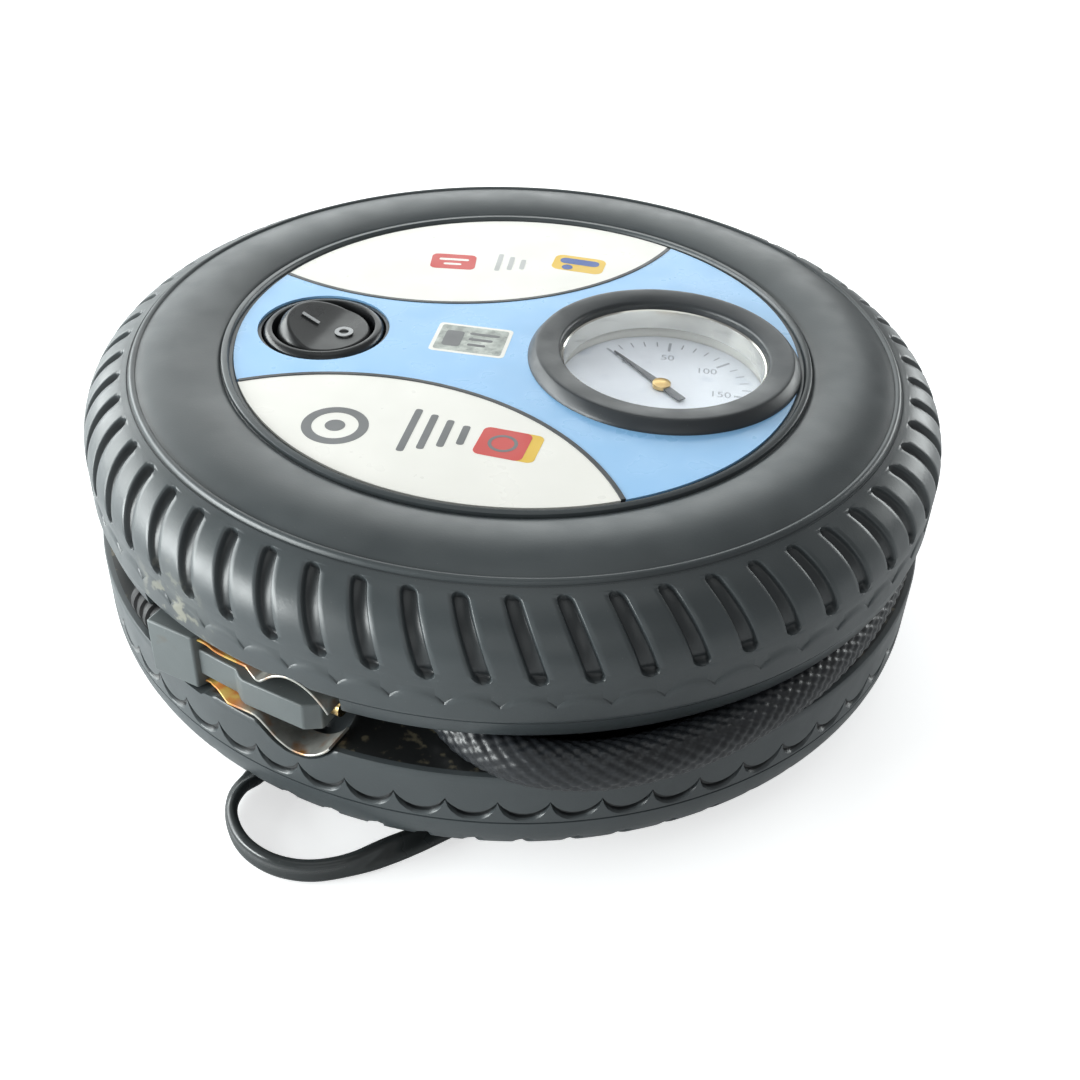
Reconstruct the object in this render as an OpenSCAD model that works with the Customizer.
// Portable tire inflator: a 12 V air compressor in a housing shaped like a small tire.
// The object stands on its rubber feet with the tire's axle upright.
// Units are millimetres. +Z is up, and the origin is on the axle at floor level.
// +X runs from the rocker switch to the pressure gauge.

/* [Housing] */
// diameter of the tire-shaped housing
tire_d = 157; // [140:1:180]
// height of the label face above the floor
label_h = 56; // [48:0.5:64]
// diameter of the round label
label_d = 104; // [90:1:116]
// height of the rubber feet
foot_h = 3; // [2:0.5:5]
// radius of the rounded tread shoulder
shoulder_r = 11; // [8:0.5:14]
// number of tread sipes round the tire
sipes = 60; // [30:1:72]
// width of a tread sipe
sipe_w = 2.3; // [1.5:0.1:3]
// depth of a tread sipe
sipe_depth = 1.3; // [0.8:0.1:2]
// lean of a sipe from the upright
sipe_lean = 20; // [0:1:30]
// wall thickness of the mouldings
wall = 2; // [1.5:0.1:3]

/* [Storage groove] */
// height of the groove's lower edge above the floor
groove_low = 24.7; // [20:0.1:28]
// height of the groove's upper edge above the floor
groove_high = 33; // [30:0.1:38]
// diameter of the drum at the bottom of the groove
drum_d = 126; // [110:1:136]
// diameter of the braided air hose
hose_d = 7.8; // [6:0.1:9]
// bearing at which the hose leaves the drum
hose_az = -92; // [-120:1:-80]

/* [Cord well] */
// diameter of the hub that the lead is wound on
hub_d = 72; // [60:1:90]
// width of the flat twin lead
lead_w = 4.6; // [4:0.1:6]
// thickness of the flat twin lead
lead_t = 2.0; // [1.8:0.1:3]
// number of turns of lead on the hub
lead_turns = 7.75; // [3:0.25:8]
// radial distance from one turn to the next
lead_pitch = 2.78; // [2.75:0.01:3.5]
// bearing of the shaft that takes the lead up to the groove
riser_az = -152; // [-170:1:-140]

/* [Gauge] */
// centre of the gauge along X
gauge_x = 26.9; // [20:0.1:30]
// offset of gauge and switch from the X axis
band_y = -1.6; // [-5:0.1:5]
// diameter of the gauge bezel where it meets the label
bezel_d = 49.6; // [44:0.2:52]
// diameter of the bezel's opening
dial_d = 37.6; // [30:0.2:42]
// height of the bezel above the label
bezel_h = 2.2; // [1:0.1:5]
// bearing of the pointer when it rests at zero
pointer_zero = 132; // [120:1:150]

/* [Switch] */
// centre of the switch along X
switch_x = -36.2; // [-40:0.1:-30]
// diameter of the switch bezel
switch_d = 22.4; // [20:0.1:24]
// turn of the switch in its hole
switch_turn = -12; // [-30:1:30]
// angle from the rocker's middle to either end
rocker_tilt = 12; // [8:1:15]

/* [Pump] */
// teeth on the motor pinion
pinion_teeth = 10; // [9:1:14]
// teeth on the drive gear
gear_teeth = 30; // [26:1:40]
// size of a gear tooth, as its module
gear_module = 0.8; // [0.6:0.1:1]
// throw of the crank pin, half of the piston's stroke
crank_throw = 6; // [4:0.5:8]
// distance between the ends of the connecting rod
rod_len = 26; // [22:0.5:32]
// diameter of the piston
piston_d = 16; // [14:0.5:20]
// diameter of the motor can
motor_d = 28; // [24:0.5:30]
// length of the motor can
motor_len = 34; // [30:0.5:40]

/* [Output] */
// the sub-part to make, or all of them

/* [Hidden] */
$fn = 64;
eps = 0.01;
tire_r = tire_d / 2;
label_r = label_d / 2;
drum_r = drum_d / 2;
hub_r = hub_d / 2;
sole_z = foot_h;                             // underside of the lower moulding
crown_r = tire_r - shoulder_r;               // where the shoulder's curve is centred
top_c = label_h - 0.3 - shoulder_r;          // height of the upper shoulder's centre
low_c = sole_z + shoulder_r;                 // height of the lower shoulder's centre
lip_z = groove_high + 3.5;                   // lower edge of the upper tread
flange_r = tire_r - 1.2;                     // recessed band under the upper tread
parting_z = (groove_low + groove_high) / 2 + 0.05;
hose_z = (groove_low + groove_high) / 2;
pitch_az = 360 / sipes;
sipe_phase = 3;                              // bearing of the sipes' middles
upper_sipe = [-4, 72.5];                     // a sipe's ends, as angles round the shoulder
lower_sipe = [38, 70];
scallop_phase = 0.5;                         // bearing of the scallops' points
well_top = 12.4;                             // ceiling of the cord well
face_z = label_h - 2.4;                      // underside of the face plate
panel_t = 0.5;                               // thickness of a label panel
rib_w = 0.9;                                 // black ribs between the panels
far_arc = [-23.5, 64];                       // centre of the far panel's edge
far_arc_r = 52.5;
near_arc = [-21.9, -65.9];                   // centre of the near panel's edge
near_arc_r = 49.2;
gauge_hole_r = 21;
case_r = 19.7;                               // gauge case
case_bottom = label_h - 15.5;
dial_z = label_h - 6;
switch_hole_r = 11.6;
switch_seat = label_h - 2.2;                 // floor of the switch's counterbore
rocker_r = 9.1;
rocker_z = label_h - 3.6;                    // height of the rocker's pivot
pivot_r = 1.12;                              // pins that the rocker turns on
gear_gap = gear_module * (pinion_teeth + gear_teeth) / 2;
gear_drop = 8;
motor_x = -9;
motor_z = 33;
gear_x = motor_x + sqrt(gear_gap * gear_gap - gear_drop * gear_drop);
gear_z = motor_z - gear_drop;
mesh_az = atan2(gear_drop, motor_x - gear_x);   // from gear to pinion, in the XZ plane
pump_y = -14.6;                              // plane of the rod and cylinder
wrist_x = gear_x - crank_throw + rod_len;
cylinder_x = 21.8;                           // open end of the cylinder
cylinder_len = 21.7;
head_x = cylinder_x + cylinder_len;
bosses = [[-5, -31], [-25, -19], [20, 24], [-28, 16]];
posts = [[-18, 6], [10, 6]];
feet_az = [20, 110, 200, 290];
foot_at = 65.5;                              // radius at which the feet sit

// plug frame: the nose's outer corner, and the direction from grip to nose
plug_nose = [-18.9, -74.3];
plug_az = -20.4;
plug_t = 11;                                 // thickness of the grip, inward from its outer face
plug_grip = 5.45;                            // half height of the grip
grip_len = 10;
plug_bar = 2.65;                             // half height of the narrow bar
bar_out = 1.35;                              // how far the bar stands proud of the grip's face
bar_in = 9;                                  // inner side of the bar
plug_mid = 3.8;                              // middle of the bar's thickness
plug_len = 34.2;
recess_top = 7.85;                           // height of the recess above the plug's middle
slot_z = 4.0;                                // lower side of the slot for a contact
boot_az = 136.6;
boot_len = 10;
plug_dir = [cos(plug_az), sin(plug_az)];
plug_in = [-sin(plug_az), cos(plug_az)];     // from the outer face inward
boot_start = plug_nose - plug_len * plug_dir + plug_t / 2 * plug_in;
boot_tip = boot_start + boot_len * [cos(boot_az), sin(boot_az)];
boot_end = [boot_tip[0], boot_tip[1], (groove_low + groove_high) / 2];

// chuck frame: the hose's end, and the direction from hose to nozzle
chuck_at = [71.5 * cos(154), 71.5 * sin(154)];
chuck_az = 261;
lever_at = [38, -5.5];                       // pivot of the chuck's lever

// ---- points, curves and tubes ----

function polar(r, az, z) = [r * cos(az), r * sin(az), z];

// one point of the smooth curve through p1 and p2
function blend(p0, p1, p2, p3, t) =
  0.5 * (2 * p1 + (p2 - p0) * t + (2 * p0 - 5 * p1 + 4 * p2 - p3) * t * t
  + (3 * p1 - p0 - 3 * p2 + p3) * t * t * t);

// a smooth curve through all the points, with n steps between two of them
function smooth(p, n) = concat(
  [for (i = [0 : len(p) - 2]) for (k = [0 : n - 1])
    blend(p[max(i - 1, 0)], p[i], p[i + 1], p[min(i + 2, len(p) - 1)], k / n)],
  [p[len(p) - 1]]);

function place(p) = [p[0], p[1], p[2]];
function broad(p) = [p[3], p[4], p[5]];
function heading(p, i) = place(p[min(i + 1, len(p) - 1)]) - place(p[max(i - 1, 0)]);
function unit(v) = v / norm(v);

// corners of the section at one point; the broad side follows the point's own direction
function section(p, i, a, b, sides) =
  let (t = unit(heading(p, i)), s = broad(p[i]))
  let (w = unit(s - (s * t) * t), n = cross(t, w), k = 1 / cos(180 / sides))
  [for (j = [0 : sides - 1]) let (g = 360 * (j + 0.5) / sides)
    place(p[i]) + a * k * cos(g) * w + b * k * sin(g) * n];

function tube_points(p, a, b, sides) =
  [for (i = [0 : len(p) - 1]) each section(p, i, a, b, sides)];

function tube_faces(n, s) = concat(
  [for (k = [1 : s - 2]) [0, k, k + 1]],
  [for (i = [0 : n - 2]) for (k = [0 : s - 1]) let (a = i * s + k, b = i * s + (k + 1) % s)
    each [[a, a + s, b + s], [a, b + s, b]]],
  [for (k = [1 : s - 2]) let (e = (n - 1) * s) [e, e + k + 1, e + k]]);

// a plain tube of half widths a and b through the points
module tube(p, a, b, sides) {
  polyhedron(tube_points(p, a, b, sides), tube_faces(len(p), sides));
}

// ---- routes of the hose and the lead, as [x, y, z] and the direction of the broad side ----

function on_ring(r, az, z) = concat(polar(r, az, z), [0, 0, 1]);

hose_route = [
  on_ring(65.6, -91.6, hose_z), on_ring(69, -90.2, hose_z), on_ring(74, -86.4, hose_z),
  on_ring(78.2, -81, hose_z), on_ring(80, -75, hose_z), on_ring(80.3, -69, hose_z),
  on_ring(80, -62, hose_z), on_ring(79.5, -55, hose_z), on_ring(79, -46, hose_z),
  on_ring(78.4, -37, hose_z), on_ring(77.5, -28, hose_z), on_ring(76, -16, hose_z),
  on_ring(74.5, -2, hose_z), on_ring(73.5, 14, hose_z), on_ring(73, 32, hose_z),
  on_ring(73, 50, hose_z), on_ring(73, 68, hose_z), on_ring(73, 86, hose_z),
  on_ring(73, 104, hose_z), on_ring(73, 120, hose_z), on_ring(72.6, 134, hose_z),
  on_ring(72, 145, hose_z), [chuck_at[0], chuck_at[1], hose_z, 0, 0, 1]
];

wind_r = hub_r + lead_t / 2 + 0.6;           // innermost turn
wind_z = 9.9;                                // middle height of the turns
wind_from = -142;                            // bearing at which the winding starts
wind_rings = 24;                             // rings in one turn

lead_hole_az = wind_from + 16;               // where the lead comes down through the ceiling
floor_z = lead_t / 2 + 0.15;                 // middle of the lead where it lies flat
edge_z = lead_w / 2 + 0.15;                  // middle of the lead where it stands on its edge

// the lead comes down out of the ceiling and joins the first turn
lead_in = [
  concat(polar(wind_r, lead_hole_az, 18), [0.8, -0.6, 0]),
  concat(polar(wind_r, lead_hole_az, 14.5), [0.8, -0.6, 0.1]),
  concat(polar(wind_r, lead_hole_az - 2, 11.6), [0.7, -0.5, 0.8]),
  concat(polar(wind_r, lead_hole_az - 7, wind_z + 0.3), [0.1, 0, 1])
];

// turns of the winding, clockwise from above and outward
winding = [for (i = [0 : lead_turns * wind_rings]) let (q = i / wind_rings)
  on_ring(wind_r + lead_pitch * q, wind_from - 360 * q, wind_z)];

// out of the well, once round on the floor, back under the tire and up the riser
lead_out = [
  on_ring(59.4, -58, 9.2),
  concat(polar(59, -64, 6.8), [0.1, 0.3, 1]),
  concat(polar(58.4, -70, 3.8), [0.2, 1, 0.7]),
  concat(polar(58.4, -75.5, 1.6), [0.3, 1, 0.1]),
  [8.6, -60.6, floor_z, 0.6, 1, 0],
  [3, -65.6, floor_z, 0.6, 1, 0],
  [-2.4, -70.4, floor_z + 0.12, -0.66, 0.74, 0.06],
  [-8.2, -75.6, floor_z + 0.95, -0.5, 0.62, 0.6],
  [-14.6, -80.3, edge_z, 0, 0.1, 1],
  [-21, -82.6, edge_z, 0, 0, 1],
  [-27.4, -82.1, edge_z, 0, 0, 1],
  [-33, -78.9, edge_z, 0, 0, 1],
  [-36.6, -73.6, edge_z, 0.1, 0, 1],
  [-37.2, -68.2, floor_z + 1.15, 0.6, -0.07, 0.7],
  [-35.4, -63, floor_z + 0.5, 0.95, -0.16, 0.25],
  [-35.4, -57.4, floor_z, 0.94, 0.35, 0],
  [-39.6, -51.6, floor_z, 0.8, 0.7, 0],
  [-46.4, -45.6, floor_z, 0.7, 0.7, 0],
  [-51.6, -40.8, floor_z, 0.7, 0.7, 0],
  [-56, -36.6, floor_z + 0.25, 0.7, 0.7, 0],
  concat(polar(68.4, riser_az, 4.6), [0.6, 0.9, 0]),
  concat(polar(69.2, riser_az, 11), [0.7, 0.9, 0]),
  concat(polar(69.2, riser_az, 18), [0.9, 0.5, 0]),
  concat(polar(69.2, riser_az, 24), [1, 0, 0]),
  [-61.4, -36.2, 27.8, 1, 0, -0.2],
  [-61.8, -41.6, hose_z, 0.6, 0, -0.8],
  concat(boot_end, [0, 0, -1])
];

lead_route = concat(smooth(lead_in, 3), winding, smooth(lead_out, 3));

// least clear distance between one turn of the winding and the next
turn_gap = min([for (i = [0 : len(winding) - wind_rings - 2])
  norm(place(winding[i + wind_rings]) - place(winding[i])) * cos(180 / wind_rings) - lead_t]);

// least clear distance between the winding and the run that leaves it
run_gap = min([for (p = smooth(lead_out, 3)) each [for (q = winding)
  let (flat = norm([p[0] - q[0], p[1] - q[1]]), drop = abs(p[2] - q[2]))
  max(flat - lead_t, drop - lead_w / 2 - lead_t / 2)]]);

// ---- housing ----

// lens-shaped slot of one sipe, following the shoulder between two angles
module sipe(lean, ends) {
  rotate([0, -(ends[0] + ends[1]) / 2, 0])
    rotate([lean, 0, 0])
      rotate([90, 0, 0])
        rotate_extrude(angle = ends[1] - ends[0], start = (ends[0] - ends[1]) / 2)
          translate([shoulder_r - sipe_depth, -sipe_w / 2])
            square([sipe_depth + 2, sipe_w]);
}

module sipe_ring(lean, ends) {
  for (i = [0 : sipes - 1]) {
    rotate([0, 0, i * pitch_az + sipe_phase])
      translate([crown_r, 0, 0])
        sipe(lean, ends);
  }
}

module outer_section_top() {
  translate([crown_r, top_c])
    circle(r = shoulder_r);
  translate([tire_r - 4, lip_z])
    square([4, top_c - lip_z]);
  translate([label_r + 2, top_c])
    square([crown_r - label_r - 2, shoulder_r]);
  intersection() {
    translate([61.2, label_h + 1.2 - 20.5])
      circle(r = 20.5);
    translate([label_r + 2, label_h - 5])
      square([14.8, 8]);
  }
  translate([crown_r + 1.7, label_h - 0.7])
    circle(r = 1.0);
  translate([label_r + 0.3, label_h - 1])
    square([1.3, 1.5]);
}

module upper_section() {
  difference() {
    outer_section_top();
    translate([crown_r, top_c])
      circle(r = shoulder_r - wall);
    translate([label_r + 2 + eps, top_c - eps])
      square([crown_r - label_r - 2, shoulder_r - wall]);
    translate([crown_r - 12, lip_z - 2])
      square([10 + shoulder_r, top_c - lip_z + 2]);
  }
  translate([tire_r - 2, lip_z])
    square([2, top_c - lip_z]);
  translate([0, face_z])
    square([label_r + 3.5, 2.4]);
  translate([label_r + 1.5, label_h - 2.4])
    square([3, 2.4 - 0.3]);
  translate([drum_r - wall, groove_high])
    square([flange_r - drum_r + wall, wall]);
  translate([flange_r - 1.8, groove_high])
    square([1.8, lip_z - groove_high + 1]);
  translate([flange_r - 1.8, lip_z])
    square([3, 1.6]);
  translate([drum_r - wall, parting_z])
    square([wall, groove_high - parting_z + 1]);
}

// lower tread with the storage groove's floor and drum
module tread_section() {
  difference() {
    union() {
      translate([crown_r, low_c])
        circle(r = shoulder_r);
      translate([tire_r - 4, low_c])
        square([4, groove_low - low_c]);
      translate([drum_r - wall, sole_z])
        square([crown_r - drum_r + wall, wall]);
    }
    translate([crown_r, low_c])
      circle(r = shoulder_r - wall);
    translate([drum_r, sole_z + wall])
      square([crown_r - drum_r, 40]);
    translate([drum_r, low_c])
      square([tire_r - wall - drum_r, 40]);
    translate([drum_r - 9, 0])
      square([8, 40]);
  }
  translate([tire_r - wall, low_c])
    square([wall, groove_low - low_c]);
  translate([drum_r - wall, groove_low - wall])
    square([tire_r - drum_r + wall, wall]);
  translate([drum_r - wall, sole_z])
    square([wall, parting_z - 0.1 - sole_z]);
}

// floor, hub and ceiling of the cord well
module well_section() {
  translate([hub_r - wall, well_top])
    square([drum_r - hub_r + 1, 1.5]);
  translate([hub_r - wall, sole_z + 0.4])
    square([wall, well_top + 1 - sole_z - 0.4]);
  translate([0, sole_z + 0.4])
    square([hub_r - 1, wall]);
}

module far_shape(grow) {
  intersection() {
    circle(r = label_r - 0.6 + grow);
    translate(far_arc)
      circle(r = far_arc_r - rib_w / 2 + grow);
  }
}

module near_shape(grow) {
  intersection() {
    circle(r = label_r - 0.6 + grow);
    translate(near_arc)
      circle(r = near_arc_r - rib_w / 2 + grow);
  }
}

module band_shape(grow) {
  difference() {
    circle(r = label_r - 0.6 + grow);
    translate(far_arc)
      circle(r = far_arc_r + rib_w / 2 - grow);
    translate(near_arc)
      circle(r = near_arc_r + rib_w / 2 - grow);
    translate([switch_x, band_y])
      circle(r = switch_hole_r + 0.5 - grow);
    translate([gauge_x, band_y])
      circle(r = gauge_hole_r + 0.5 - grow);
  }
}

// hollow that the plug's grip and its two bowed contacts sit in
module plug_recess() {
  translate([plug_nose[0], plug_nose[1], hose_z])
    rotate([0, 0, plug_az]) {
      translate([-plug_len - 1.5, -4, -recess_top])
        cube([grip_len + 2.5, plug_t + 4.6, 2 * recess_top]);
      translate([-plug_len + grip_len, -4, 2 - recess_top])
        cube([plug_len - grip_len + 3, bar_in + 5, 2 * recess_top - 2]);
      translate([-11.6, -4, -8.4])
        cube([13.4, 8.2, 16.8]);
      translate([-8.6, -4, -9.85])
        cube([6.6, 8.2, 19.2]);
    }
}

// part ring behind the tread that closes the plug's hollow from above or below
module recess_wall(z, h) {
  rotate_extrude(angle = 37, start = -137)
    translate([drum_r + 1, z])
      square([tire_r - drum_r - 2.2, h]);
}

module hose_port() {
  translate([0, 0, hose_z])
    rotate([0, 0, hose_az])
      rotate([0, 90, 0])
        cylinder(r = 5.2, h = drum_r + 1);
}

module upper_shell() {
  color([0.17, 0.18, 0.19])
    difference() {
      union() {
        difference() {
          rotate_extrude()
            upper_section();
          translate([0, 0, top_c])
            sipe_ring(sipe_lean, upper_sipe);
        }
        for (b = bosses) {
          translate([b[0], b[1], parting_z])
            cylinder(r = 3.4, h = face_z - parting_z + 0.5);
        }
        recess_wall(groove_high + 1, 5);
      }
      translate([0, 0, label_h - panel_t]) {
        linear_extrude(2)
          far_shape(0.05);
        linear_extrude(2)
          near_shape(0.05);
        linear_extrude(2)
          band_shape(0.05);
      }
      translate([gauge_x, band_y, face_z - 1])
        cylinder(r = gauge_hole_r, h = 5);
      translate([switch_x, band_y, switch_seat])
        cylinder(r = switch_hole_r, h = 5);
      translate([switch_x, band_y, face_z - 6])
        cylinder(r = 10.1, h = 10);
      for (b = bosses) {
        translate([b[0], b[1], parting_z - 1])
          cylinder(r = 1.25, h = 16);
      }
      plug_recess();
      hose_port();
    }
}

// one crescent hollow below a petal of the lower tread
module crescent() {
  translate([tire_r - 1.5, 0, 0])
    rotate([90, 0, 90])
      linear_extrude(4)
        difference() {
          translate([0, 19.1])
            circle(r = 3.96);
          translate([0, 21.25])
            circle(r = 4.55);
        }
}

module lower_shell() {
  color([0.17, 0.18, 0.19])
    difference() {
      union() {
        rotate_extrude()
          well_section();
        difference() {
          rotate_extrude()
            tread_section();
          translate([0, 0, low_c])
            rotate([180, 0, 0])
              sipe_ring(-sipe_lean, lower_sipe);
          for (i = [0 : sipes - 1]) {
            rotate([0, 0, (i + 0.5) * pitch_az + scallop_phase])
              crescent();
          }
        }
        for (b = bosses) {
          translate([b[0], b[1], sole_z + 0.4])
            cylinder(r = 3.9, h = parting_z - 0.1 - sole_z - 0.4);
        }
        for (b = posts) {
          translate([b[0], b[1], sole_z + 0.4])
            cylinder(r = 3.9, h = 14.5 - sole_z - 0.4);
        }
        rotate([0, 0, riser_az])
          translate([drum_r - 0.5, -5.5, sole_z + 0.1])
            cube([12, 11, groove_low - wall - sole_z]);
        recess_wall(groove_low - 6.2, 5);
      }
      for (b = bosses) {
        translate([b[0], b[1], sole_z - 1])
          cylinder(r = 1.7, h = 40);
        translate([b[0], b[1], sole_z - 1])
          cylinder(r = 2.9, h = 4.4);
      }
      for (b = posts) {
        translate([b[0], b[1], sole_z - 1])
          cylinder(r = 1.7, h = 20);
        translate([b[0], b[1], sole_z - 1])
          cylinder(r = 2.9, h = 4.4);
      }
      for (a = feet_az) {
        translate(polar(foot_at, a, sole_z - 1))
          cylinder(r = 1.6, h = 4);
      }
      translate(polar(69.2, riser_az, sole_z - 1))
        cylinder(r = 3.6, h = groove_low);
      translate(polar(wind_r, wind_from + 16, well_top - 1))
        cylinder(r = 4.2, h = 4);
      plug_recess();
      hose_port();
    }
}

module label_panel_solid() {
  translate([0, 0, label_h - panel_t])
    linear_extrude(panel_t)
      children();
}

module label_band() {
  color([0.55, 0.78, 1.0])
    label_panel_solid()
      band_shape(0);
}

module label_far() {
  color([0.93, 0.94, 0.9])
    label_panel_solid()
      far_shape(0);
}

module label_near() {
  color([0.93, 0.94, 0.9])
    label_panel_solid()
      near_shape(0);
}

module feet() {
  color([0.1, 0.1, 0.1])
    for (a = feet_az) {
      translate(polar(foot_at, a, 0)) {
        cylinder(r1 = 3.2, r2 = 3.6, h = foot_h);
        cylinder(r = 1.55, h = foot_h + 2.6);
      }
    }
}

module shell_screws() {
  color([0.6, 0.6, 0.62])
    for (b = bosses) {
      translate([b[0], b[1], sole_z + 0.6]) {
        cylinder(r = 2.6, h = 1.8);
        cylinder(r = 1.2, h = 38);
      }
    }
}

// ---- gauge ----

module gauge_bezel() {
  color([0.16, 0.17, 0.18])
    translate([gauge_x, band_y, label_h])
      difference() {
        union() {
          cylinder(r1 = bezel_d / 2, r2 = bezel_d / 2 - 1.6, h = bezel_h);
          translate([0, 0, -3])
            cylinder(r = gauge_hole_r - 0.1, h = 3.5);
        }
        translate([0, 0, -4])
          cylinder(r = dial_d / 2, h = 10);
        translate([0, 0, -4])
          cylinder(r = case_r + 0.1, h = 4);
      }
}

module gauge_case() {
  color([0.8, 0.8, 0.78])
    translate([gauge_x, band_y, 0])
      difference() {
        translate([0, 0, case_bottom])
          cylinder(r = case_r, h = label_h - 0.1 - case_bottom);
        translate([0, 0, case_bottom + 0.8])
          cylinder(r = case_r - 0.7, h = 20);
        translate([0, 9, case_bottom - 1])
          cylinder(r = 3.2, h = 3);
      }
}

module gauge_dial() {
  color([0.95, 0.96, 0.97])
    translate([gauge_x, band_y, dial_z - 0.5])
      difference() {
        cylinder(r = case_r - 0.8, h = 0.5);
        translate([0, 0, -1])
          cylinder(r = 1.2, h = 3);
      }
}

module gauge_lens() {
  color([0.85, 0.92, 0.95, 0.4])
    translate([gauge_x, band_y, label_h - 4.8])
      cylinder(r = case_r - 0.75, h = 1.1);
}

module gauge_pointer() {
  color([0.2, 0.2, 0.22])
    translate([gauge_x, band_y, dial_z + 0.35])
      rotate([0, 0, pointer_zero]) {
        linear_extrude(0.35)
          polygon([[-6, -0.9], [-6, 0.9], [0, 0.7], [13.5, 0.15], [13.5, -0.15], [0, -0.7]]);
        cylinder(r = 1.5, h = 0.7);
        translate([0, 0, -4])
          cylinder(r = 0.6, h = 4.2);
      }
}

module gauge_coil() {
  color([0.78, 0.6, 0.3])
    translate([gauge_x, band_y, case_bottom + 4.6])
      rotate_extrude(angle = 250, start = 110)
        translate([13, -2])
          square([1.4, 4]);
}

module gauge_stem() {
  color([0.78, 0.6, 0.3])
    translate([gauge_x, band_y + 9, 0]) {
      translate([0, 0, case_bottom - 7])
        cylinder(r = 2.9, h = 8.4);
      translate([0, 0, case_bottom + 1.2])
        cylinder(r = 4, h = 1.2);
    }
}

// ---- switch ----

module switch_frame() {
  translate([switch_x, band_y, 0])
    rotate([0, 0, switch_turn])
      children();
}

module switch_body() {
  color([0.12, 0.12, 0.13])
    switch_frame()
      difference() {
        union() {
          translate([0, 0, switch_seat])
            cylinder(r1 = switch_d / 2, r2 = switch_d / 2 - 0.9, h = 2.0);
          translate([0, 0, switch_seat - 14])
            cylinder(r = 9.9, h = 14.5);
        }
        translate([0, 0, switch_seat - 9.5])
          cylinder(r = rocker_r + 0.25, h = 20);
      }
  color([0.12, 0.12, 0.13])
    switch_frame()
      for (s = [-1, 1]) {
        translate([0, s * (rocker_r - 0.5), rocker_z])
          rotate([90, 0, 0])
            cylinder(r = pivot_r, h = 2, center = true);
      }
}

// the rocker stays inside a ball about its pivot, so that it clears its bore
module switch_rocker() {
  color([0.15, 0.15, 0.16])
    switch_frame()
      translate([0, 0, rocker_z])
        rotate([0, rocker_tilt, 0])
          difference() {
            sphere(r = rocker_r);
            rotate([0, rocker_tilt, 0])
              translate([-20, -20, 3.4])
                cube([20, 40, 20]);
            rotate([0, -rocker_tilt, 0])
              translate([0, -20, 3.4])
                cube([20, 40, 20]);
            translate([-20, -20, -24])
              cube([40, 40, 20]);
            rotate([90, 0, 0])
              cylinder(r = pivot_r + 0.08, h = 40, center = true);
          }
}

module switch_marks() {
  color([0.95, 0.95, 0.95])
    switch_frame()
      translate([0, 0, rocker_z])
        rotate([0, rocker_tilt, 0]) {
          rotate([0, rocker_tilt, 0])
            translate([-6.1, -0.35, 3.42])
              cube([3.6, 0.7, 0.12]);
          rotate([0, -rocker_tilt, 0])
            translate([4.1, 0, 3.42])
              difference() {
                cylinder(r = 1.7, h = 0.12);
                translate([0, 0, -1])
                  cylinder(r = 0.9, h = 3);
              }
        }
}

module switch_tabs() {
  color([0.8, 0.7, 0.45])
    switch_frame()
      for (x = [-6, 0, 6]) {
        translate([x - 0.4, -2.4, switch_seat - 22])
          cube([0.8, 4.8, 7.9]);
      }
}

// ---- motor and pump, laid out in the XZ plane ----

module along_y(y, h) {
  translate([0, y, 0])
    rotate([90, 0, 0])
      linear_extrude(h)
        children();
}

function involute(a) = tan(a) * 180 / PI - a;

// half angle of a tooth at radius r
function tooth_half(teeth, r) =
  let (rp = gear_module * teeth / 2, rb = rp * cos(25))
  90 / teeth - 0.16 / rp * 180 / PI / 2 + involute(25) - involute(acos(min(1, rb / r)));

module gear_shape(teeth) {
  rp = gear_module * teeth / 2;
  rb = rp * cos(25);
  tip = rp + 0.85 * gear_module;
  root = rp - 1.15 * gear_module;
  low = max(rb, root) + 0.02;
  up = [for (k = [0 : 4]) low + (tip - low) * k / 4];
  foot = tooth_half(teeth, low);
  polygon([for (i = [0 : teeth - 1]) let (c = i * 360 / teeth) each concat(
    [root * [cos(c - foot), sin(c - foot)]],
    [for (r = up) let (h = tooth_half(teeth, r)) r * [cos(c - h), sin(c - h)]],
    [for (k = [4 : -1 : 0]) let (r = up[k], h = tooth_half(teeth, r)) r * [cos(c + h), sin(c + h)]],
    [root * [cos(c + foot), sin(c + foot)]]
  )]);
}

module motor_can() {
  color([0.7, 0.7, 0.72])
    translate([motor_x, 0, motor_z])
      rotate([-90, 0, 0])
        difference() {
          cylinder(r = motor_d / 2, h = motor_len);
          translate([0, 0, 1.2])
            cylinder(r = motor_d / 2 - 1.2, h = motor_len);
          translate([0, 0, -1])
            cylinder(r = 2.6, h = 5);
          for (s = [-1, 1]) {
            translate([s * 8, 0, -1])
              cylinder(r = 1.3, h = 5);
          }
        }
}

module motor_magnets() {
  color([0.3, 0.3, 0.3])
    translate([motor_x, 3, motor_z])
      rotate([-90, 0, 0])
        for (s = [0, 180]) {
          rotate([0, 0, s])
            rotate_extrude(angle = 120, start = 30)
              translate([10.2, 0])
                square([2.55, 26]);
        }
}

module motor_cap() {
  color([0.15, 0.15, 0.16])
    translate([motor_x, motor_len, motor_z])
      rotate([-90, 0, 0])
        difference() {
          cylinder(r = motor_d / 2 - 0.4, h = 4);
          translate([0, 0, -1])
            cylinder(r = 1.45, h = 9);
        }
}

module motor_rotor() {
  color([0.6, 0.5, 0.4])
    translate([motor_x, 0, motor_z])
      rotate([90, 0, 0]) {
        translate([0, 0, -motor_len - 3])
          cylinder(r = 1.4, h = motor_len + 13.4);
        translate([0, 0, -28])
          cylinder(r = 9.6, h = 23);
        translate([0, 0, -33])
          cylinder(r = 4.5, h = 5.5);
      }
}

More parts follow.
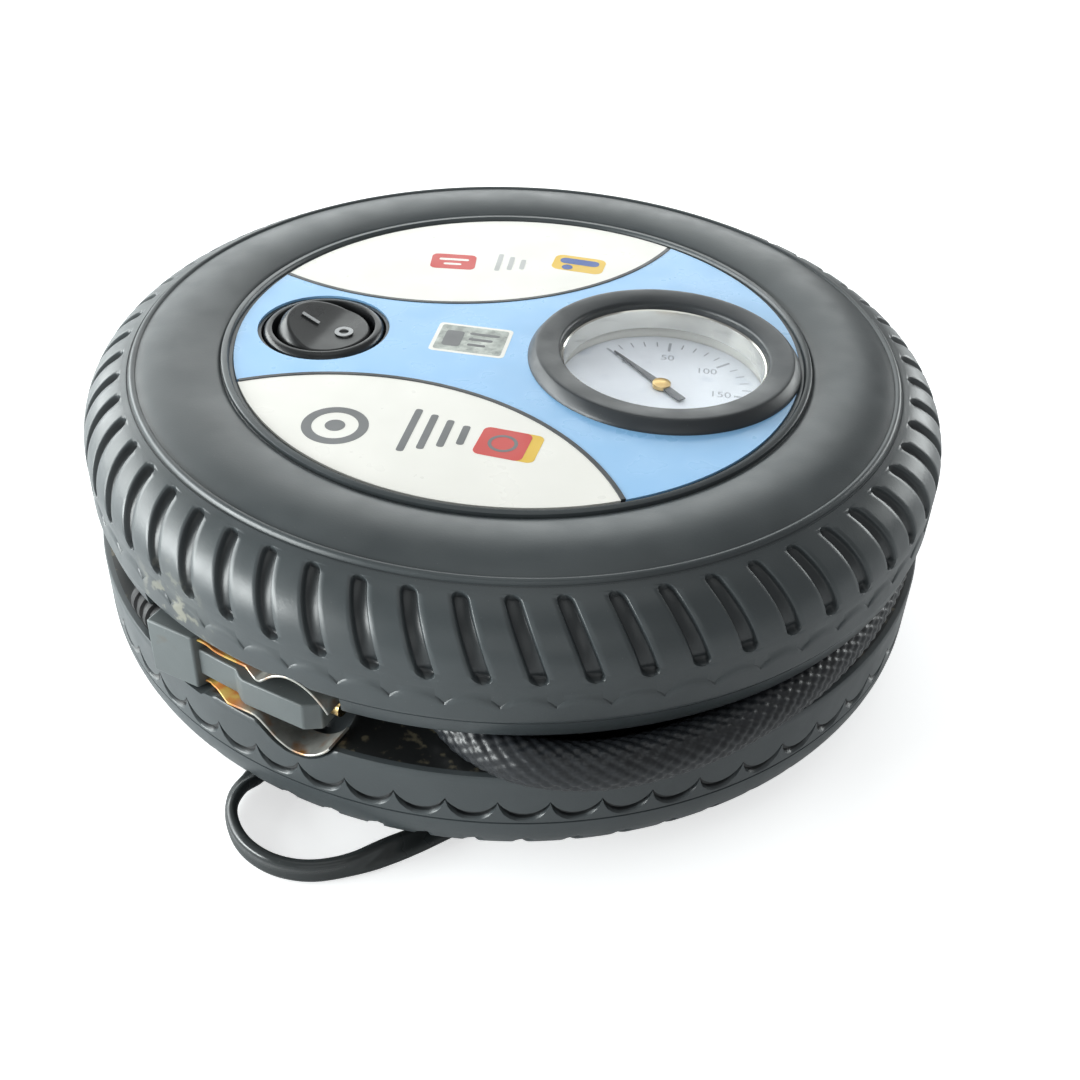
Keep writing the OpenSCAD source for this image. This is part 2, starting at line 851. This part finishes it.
module pinion() {
  color([0.75, 0.6, 0.3])
    translate([motor_x, 0, motor_z])
      rotate([0, -mesh_az - 180, 0])
        along_y(-4.5, 5.5)
          difference() {
            gear_shape(pinion_teeth);
            circle(r = 1.4);
          }
}

module drive_gear() {
  color([0.9, 0.9, 0.88])
    translate([gear_x, 0, gear_z])
      difference() {
        rotate([0, -mesh_az - 180 / gear_teeth, 0])
          along_y(-5, 4.5)
            gear_shape(gear_teeth);
        translate([0, -3, 0])
          rotate([90, 0, 0])
            cylinder(r = 2.55, h = 9);
        translate([-crank_throw, -3, 0])
          rotate([90, 0, 0])
            cylinder(r = 2, h = 9);
      }
}

module crank_pin() {
  color([0.7, 0.7, 0.72])
    translate([gear_x - crank_throw, -5.2, gear_z])
      rotate([90, 0, 0])
        cylinder(r = 2, h = 7);
}

module gear_axle() {
  color([0.7, 0.7, 0.72])
    translate([gear_x, 0, gear_z])
      rotate([90, 0, 0]) {
        cylinder(r = 2.5, h = 10.2);
        translate([0, 0, 3])
          cylinder(r = 4, h = 1.8);
      }
}

module pump_frame() {
  color([0.7, 0.71, 0.72])
    difference() {
      union() {
        along_y(0, 3)
          polygon([[-24, 14.5], [21.8, 14.5], [21.8, 36], [8, 39.5], [2, 47], [-20, 47], [-24, 40]]);
        translate([-24, -3, 14.5])
          cube([40, 15.5, 2.4]);
        translate([19.3, -25.4, 14.5])
          cube([2.5, 25.4, 21.2]);
      }
      translate([motor_x, 1, motor_z])
        rotate([90, 0, 0])
          cylinder(r = 4.3, h = 6);
      for (s = [-1, 1]) {
        translate([motor_x + s * 8, 1, motor_z])
          rotate([90, 0, 0])
            cylinder(r = 1.3, h = 6);
      }
      translate([gear_x, 1, gear_z])
        rotate([90, 0, 0])
          cylinder(r = 2.5, h = 6);
      translate([18, pump_y, gear_z])
        rotate([0, 90, 0])
          cylinder(r = 8.8, h = 6);
      for (y = [-8.4, 8.4], z = [-8.4, 8.4]) {
        translate([18, pump_y + y, gear_z + z])
          rotate([0, 90, 0])
            cylinder(r = 1.1, h = 6);
      }
      for (b = posts) {
        translate([b[0], b[1], 14])
          cylinder(r = 1.25, h = 4);
      }
    }
}

module frame_screws() {
  color([0.6, 0.6, 0.62])
    for (b = posts) {
      translate([b[0], b[1], sole_z + 0.6]) {
        cylinder(r = 2.6, h = 1.8);
        cylinder(r = 1.2, h = 13.2);
      }
    }
}

module motor_screws() {
  color([0.6, 0.6, 0.62])
    for (s = [-1, 1]) {
      translate([motor_x + s * 8, -3, motor_z])
        rotate([90, 0, 0]) {
          cylinder(r = 2.2, h = 1.3);
          translate([0, 0, -5.5])
            cylinder(r = 1.25, h = 6);
        }
    }
}

module connecting_rod() {
  color([0.85, 0.85, 0.83])
    difference() {
      union() {
        along_y(pump_y + 2, 4)
          translate([gear_x - crank_throw, gear_z])
            circle(r = 4);
        along_y(pump_y + 2, 4)
          translate([wrist_x, gear_z])
            circle(r = 3.4);
        along_y(pump_y + 1.5, 3)
          translate([gear_x - crank_throw, gear_z - 2])
            square([rod_len, 4]);
      }
      along_y(pump_y + 4, 8)
        translate([gear_x - crank_throw, gear_z])
          circle(r = 2.05);
      along_y(pump_y + 4, 8)
        translate([wrist_x, gear_z])
          circle(r = 1.55);
    }
}

module wrist_pin() {
  color([0.7, 0.7, 0.72])
    along_y(pump_y + 7.4, 14.8)
      translate([wrist_x, gear_z])
        circle(r = 1.5);
}

module piston() {
  color([0.8, 0.8, 0.8])
    difference() {
      translate([wrist_x - 4, pump_y, gear_z])
        rotate([0, 90, 0])
          cylinder(r = piston_d / 2 - 0.1, h = 8);
      translate([wrist_x - 5, pump_y, gear_z])
        rotate([0, 90, 0])
          cylinder(r = piston_d / 2 - 2, h = 9);
      along_y(pump_y + 9, 18)
        translate([wrist_x, gear_z])
          circle(r = 1.5);
    }
  color([0.8, 0.8, 0.8])
    translate([wrist_x + 3.9, pump_y, gear_z])
      rotate([0, 90, 0])
        cylinder(r = piston_d / 2 - 0.1, h = 1.1);
}

module piston_cup() {
  color([0.2, 0.2, 0.2])
    translate([wrist_x + 5, pump_y, gear_z])
      rotate([0, 90, 0])
        cylinder(r = piston_d / 2 - 0.05, h = 1.3);
}

module pump_cylinder() {
  color([0.78, 0.79, 0.8])
    difference() {
      union() {
        translate([cylinder_x, pump_y, gear_z])
          rotate([0, 90, 0]) {
            cylinder(r = 9.4, h = cylinder_len);
            for (k = [0 : 3]) {
              translate([0, 0, 5 + k * 4])
                cylinder(r = 10.1, h = 1.6);
            }
          }
        translate([cylinder_x, pump_y - 10.3, gear_z - 10.2])
          cube([2.6, 20.6, 20.4]);
      }
      translate([cylinder_x - 1, pump_y, gear_z])
        rotate([0, 90, 0])
          cylinder(r = piston_d / 2, h = cylinder_len + 2);
      for (y = [-8.4, 8.4], z = [-8.4, 8.4]) {
        translate([cylinder_x - 1, pump_y + y, gear_z + z])
          rotate([0, 90, 0])
            cylinder(r = 1.1, h = 6);
      }
    }
}

module cylinder_head() {
  color([0.72, 0.73, 0.75])
    difference() {
      union() {
        translate([head_x, pump_y, gear_z])
          rotate([0, 90, 0])
            cylinder(r = 10.3, h = 6);
        translate([head_x + 3, pump_y, gear_z])
          rotate([90, 0, 0])
            cylinder(r = 2, h = 15);
        translate([head_x + 3, pump_y, gear_z])
          rotate([-90, 0, 0])
            cylinder(r = 1.5, h = 15);
      }
      translate([head_x + 1, pump_y, gear_z])
        rotate([0, 90, 0])
          cylinder(r = 3.2, h = 3.6);
      translate([head_x - 1, pump_y, gear_z])
        rotate([0, 90, 0])
          cylinder(r = 1.2, h = 4);
      for (s = [-1, 1]) {
        translate([head_x - 1, pump_y + s * 6, gear_z + s * 6])
          rotate([0, 90, 0])
            cylinder(r = 1.2, h = 8);
      }
    }
}

module outlet_valve() {
  color([0.2, 0.2, 0.2])
    translate([head_x + 1.05, pump_y, gear_z])
      rotate([0, 90, 0])
        cylinder(r = 2.8, h = 0.9);
}

module valve_spring() {
  color([0.7, 0.7, 0.72])
    translate([head_x + 2.05, pump_y, gear_z])
      rotate([0, 90, 0])
        difference() {
          cylinder(r = 2.2, h = 2.4);
          translate([0, 0, -1])
            cylinder(r = 1.8, h = 5);
        }
}

module head_screws() {
  color([0.6, 0.6, 0.62])
    for (s = [-1, 1]) {
      translate([head_x, pump_y + s * 6, gear_z + s * 6])
        rotate([0, 90, 0]) {
          cylinder(r = 1.15, h = 7);
          translate([0, 0, 6])
            cylinder(r = 2, h = 1.4);
        }
    }
}

function flat_run(points) = [for (p = points) concat(p, [0, 0, 1])];

// air line from the cylinder head round to the hose fitting
module air_tube() {
  color([0.25, 0.25, 0.27])
    tube(smooth(flat_run([
      [head_x + 3, pump_y - 15.2, gear_z], [head_x + 2.6, pump_y - 19, gear_z],
      [41, -39, gear_z + 0.4], [32, -45, gear_z + 1.4], [20, -48.6, gear_z + 2.6],
      [14.6, -47.4, hose_z - 0.4], [10.2, -46.7, hose_z], [6.7, -46.3, hose_z]
    ]), 2), 2.4, 2.4, 8);
}

// thin pipe from the cylinder head up to the gauge
module gauge_pipe() {
  color([0.3, 0.3, 0.3])
    tube(smooth([
      [head_x + 3, 0.6, gear_z, 0, 0, 1], [head_x + 2, 6, gear_z, 0, 0, 1],
      [42, 11.4, gear_z, 0, 0, 1], [35, 14, gear_z + 0.2, 0, 0, 1],
      [29.4, 12.4, gear_z + 1.4, 0, 0, 1], [27.2, 8.8, gear_z + 4, 0, 1, 1],
      [gauge_x, band_y + 9, case_bottom - 7.7, 0, 1, 0]
    ], 2), 1.6, 1.6, 8);
}

module hose_fitting() {
  color([0.78, 0.6, 0.3])
    translate([0, 0, hose_z])
      rotate([0, 0, hose_az])
        rotate([0, 90, 0]) {
          translate([0, 0, 44])
            cylinder(r = 2.3, h = 20.4);
          translate([0, 0, 54])
            cylinder(r = 4, h = 4, $fn = 6);
          translate([0, 0, 46])
            rotate([-90, 0, 0])
              cylinder(r = 1.9, h = 8);
        }
}

module hose_grommet() {
  color([0.1, 0.1, 0.1])
    translate([0, 0, hose_z])
      rotate([0, 0, hose_az])
        rotate([0, 90, 0])
          difference() {
            translate([0, 0, drum_r - wall - 0.9])
              cylinder(r = 5.1, h = wall + 1.5);
            translate([0, 0, drum_r - wall - 2])
              cylinder(r = 2.3, h = wall + 4);
          }
}

module air_hose() {
  color([0.13, 0.14, 0.15])
    tube(smooth(hose_route, 2), hose_d / 2, hose_d / 2, 12);
}

// ---- chuck on the end of the hose ----

module chuck_frame() {
  translate([chuck_at[0], chuck_at[1], hose_z])
    rotate([0, 0, chuck_az])
      children();
}

module hose_ferrule() {
  color([0.78, 0.6, 0.3])
    chuck_frame()
      rotate([0, 90, 0]) {
        translate([0, 0, 1.5])
          cylinder(r = 3.6, h = 6.6);
        for (k = [0 : 2]) {
          translate([0, 0, 1.8 + k * 2.2])
            cylinder(r = 3.95, h = 1.2);
        }
      }
}

module chuck_body() {
  color([0.12, 0.12, 0.13])
    chuck_frame()
      difference() {
        union() {
          translate([8.2, -4, -3.8])
            cube([34, 8, 7.6]);
          translate([42, 0, 0])
            rotate([0, 90, 0])
              cylinder(r = 3.9, h = 5);
          for (z = [-3.8, 2.4]) {
            translate([35.6, -7, z])
              cube([4.8, 3.2, 1.4]);
          }
        }
        translate([39, 0, 0])
          rotate([0, 90, 0])
            cylinder(r = 2.9, h = 12);
        translate([lever_at[0], lever_at[1], -5])
          cylinder(r = 0.9, h = 10);
      }
}

module chuck_lever() {
  color([0.12, 0.12, 0.13])
    chuck_frame()
      difference() {
        union() {
          translate([lever_at[0], lever_at[1], -2.1])
            cylinder(r = 1.2, h = 4.2);
          translate([14, -6.7, -2.1])
            cube([lever_at[0] - 14, 2.4, 4.2]);
          translate([12, -7.3, -2.1])
            cube([3, 3, 4.2]);
        }
        translate([lever_at[0], lever_at[1], -4])
          cylinder(r = 0.95, h = 8);
      }
}

module chuck_pin() {
  color([0.7, 0.7, 0.72])
    chuck_frame()
      translate([lever_at[0], lever_at[1], -3.8])
        cylinder(r = 0.9, h = 7.6);
}

module chuck_seal() {
  color([0.05, 0.05, 0.05])
    chuck_frame()
      translate([41, 0, 0])
        rotate([0, 90, 0])
          difference() {
            cylinder(r = 2.85, h = 4);
            translate([0, 0, -1])
              cylinder(r = 1.5, h = 8);
          }
}

// ---- lead and plug ----

module power_lead() {
  echo(least_gap_between_turns = turn_gap, least_gap_under_turns = run_gap);
  color([0.1, 0.1, 0.11])
    tube(lead_route, lead_w / 2, lead_t / 2, 8);
}

module lead_grommet() {
  color([0.1, 0.1, 0.1])
    translate(polar(wind_r, lead_hole_az, well_top + 1.55)) {
      difference() {
        cylinder(r = 5, h = 1.6);
        translate([0, 0, -1])
          cylinder(r = 2.75, h = 5);
      }
    }
}

// the three wires inside, from lead to switch and from switch to motor
module switch_wires() {
  color([0.6, 0.1, 0.1])
    for (k = [0 : 2]) {
      tube(smooth([
        [-42 + 5.8 * k, -0.4 - 1.2 * k, switch_seat - 22.5, 1, 0, 0],
        [-41.6 + 5 * k, 2.6 - k, 28, 1, 0, 0], [-40.6 + 2.4 * k, 11, 27.4, 1, 0, 0],
        [-36.6 + 1.8 * k, 26, 29, 1, 0, 0], [-24 + 1.2 * k, 41.6 - 0.6 * k, 33, 0, 0, 1],
        [-18.6 + 3 * k, 42.4, 36, 0, 0, 1], [-17 + 3 * k, 38.2, 36, 0, 0, 1]
      ], 2), 0.8, 0.8, 8);
    }
}

module plug_frame() {
  translate([plug_nose[0], plug_nose[1], hose_z])
    rotate([0, 0, plug_az])
      children();
}

module plug_boot() {
  color([0.1, 0.1, 0.1])
    translate([boot_start[0], boot_start[1], hose_z])
      rotate([0, 0, boot_az])
        rotate([0, 90, 0]) {
          translate([0, 0, 1.7])
            cylinder(r1 = 3, r2 = 2.6, h = boot_len - 2.5);
          for (k = [0 : 2]) {
            translate([0, 0, 2 + k * 2.4])
              cylinder(r = 3.3, h = 1.2);
          }
        }
}

// grip, narrow bar and nose, with a slot for each side contact
module plug_body() {
  grip_end = grip_len - plug_len;
  color([0.27, 0.28, 0.29])
    plug_frame()
      difference() {
        union() {
          translate([0, 0, -plug_grip])
            linear_extrude(2 * plug_grip)
              polygon([[-plug_len, 0], [grip_end - 1, 0], [grip_end, 2.2],
                [grip_end, plug_t - 0.6], [-plug_len, plug_t]]);
          translate([0, 0, -plug_bar])
            linear_extrude(2 * plug_bar)
              polygon([[grip_end - 1, 2.4], [-14.6, -bar_out], [-3.1, -bar_out], [-0.6, 0.4],
                [-0.6, bar_in - 1], [-1.6, bar_in], [grip_end - 1, bar_in]]);
        }
        for (z = [-slot_z - 1, slot_z]) {
          translate([grip_end - 5.4, 0.6, z])
            cube([8, 3.4, 1]);
        }
        translate([-23, plug_mid, 0])
          rotate([0, 90, 0])
            cylinder(r = 2.15, h = 16.1);
        translate([-7.5, plug_mid, 0])
          rotate([0, 90, 0])
            cylinder(r = 1.65, h = 10);
        translate([-plug_len + 5, -1, 0])
          rotate([-90, 0, 0])
            cylinder(r = 1.3, h = 8);
      }
}

// one sprung side contact: a root in the grip's slot, and a blade bowed outward near the nose
module plug_spring() {
  translate([0, 1, 0])
    rotate([90, 0, 0])
      mirror([0, 0, 1])
        linear_extrude(2.4)
          polygon([[-29, 4.3], [-23.6, 4.3], [-23.6, 4.7], [-29, 4.7]]);
  translate([0, -2, 0])
    rotate([90, 0, 0])
      mirror([0, 0, 1])
        linear_extrude(5.4)
          polygon([
            [-24, 4.3], [-22.4, 4], [-20.8, 3.3], [-12.6, 3.05], [-11.2, 3.5], [-9.6, 5],
            [-7.6, 6.6], [-5.4, 7.5], [-3, 7.3], [-1, 6.2], [0.7, 4.75], [1.7, 3.5], [2.1, 3.7],
            [1.1, 5.05], [-0.7, 6.55], [-2.8, 7.7], [-5.4, 7.9], [-7.9, 6.95], [-9.9, 5.35],
            [-11.5, 3.85], [-12.7, 3.45], [-20.6, 3.7], [-22.2, 4.4], [-24, 4.7]
          ]);
}

module plug_spring_upper() {
  color([0.75, 0.55, 0.3])
    plug_frame()
      plug_spring();
}

module plug_spring_lower() {
  color([0.75, 0.55, 0.3])
    plug_frame()
      mirror([0, 0, 1])
        plug_spring();
}

module plug_tip() {
  color([0.78, 0.6, 0.3])
    plug_frame()
      translate([0, plug_mid, 0])
        rotate([0, 90, 0]) {
          translate([0, 0, -7])
            cylinder(r = 1.6, h = 8);
          translate([0, 0, -7.8])
            cylinder(r = 2.05, h = 0.8);
        }
}

module plug_tip_spring() {
  color([0.7, 0.7, 0.72])
    plug_frame()
      translate([-12, plug_mid, 0])
        rotate([0, 90, 0])
          difference() {
            cylinder(r = 2, h = 1.8);
            translate([0, 0, -1])
              cylinder(r = 1.5, h = 5);
          }
}

module plug_fuse() {
  color([0.85, 0.85, 0.85])
    plug_frame()
      translate([-22.6, plug_mid, 0])
        rotate([0, 90, 0])
          cylinder(r = 2.05, h = 10.2);
}

module plug_screw() {
  color([0.6, 0.6, 0.62])
    plug_frame()
      translate([-plug_len + 5, 0.2, 0])
        rotate([-90, 0, 0])
          cylinder(r = 1.25, h = 6);
}

upper_shell();
lower_shell();
label_band();
label_far();
label_near();
gauge_bezel();
gauge_case();
gauge_dial();
gauge_lens();
gauge_pointer();
gauge_coil();
gauge_stem();
switch_body();
switch_rocker();
switch_marks();
switch_tabs();
feet();
shell_screws();
motor_can();
motor_magnets();
motor_cap();
motor_rotor();
pinion();
drive_gear();
crank_pin();
gear_axle();
pump_frame();
frame_screws();
motor_screws();
connecting_rod();
wrist_pin();
piston();
piston_cup();
pump_cylinder();
cylinder_head();
outlet_valve();
valve_spring();
head_screws();
air_tube();
gauge_pipe();
hose_fitting();
hose_grommet();
air_hose();
hose_ferrule();
chuck_body();
chuck_lever();
chuck_pin();
chuck_seal();
power_lead();
lead_grommet();
switch_wires();
plug_boot();
plug_body();
plug_spring_upper();
plug_spring_lower();
plug_tip();
plug_tip_spring();
plug_fuse();
plug_screw();
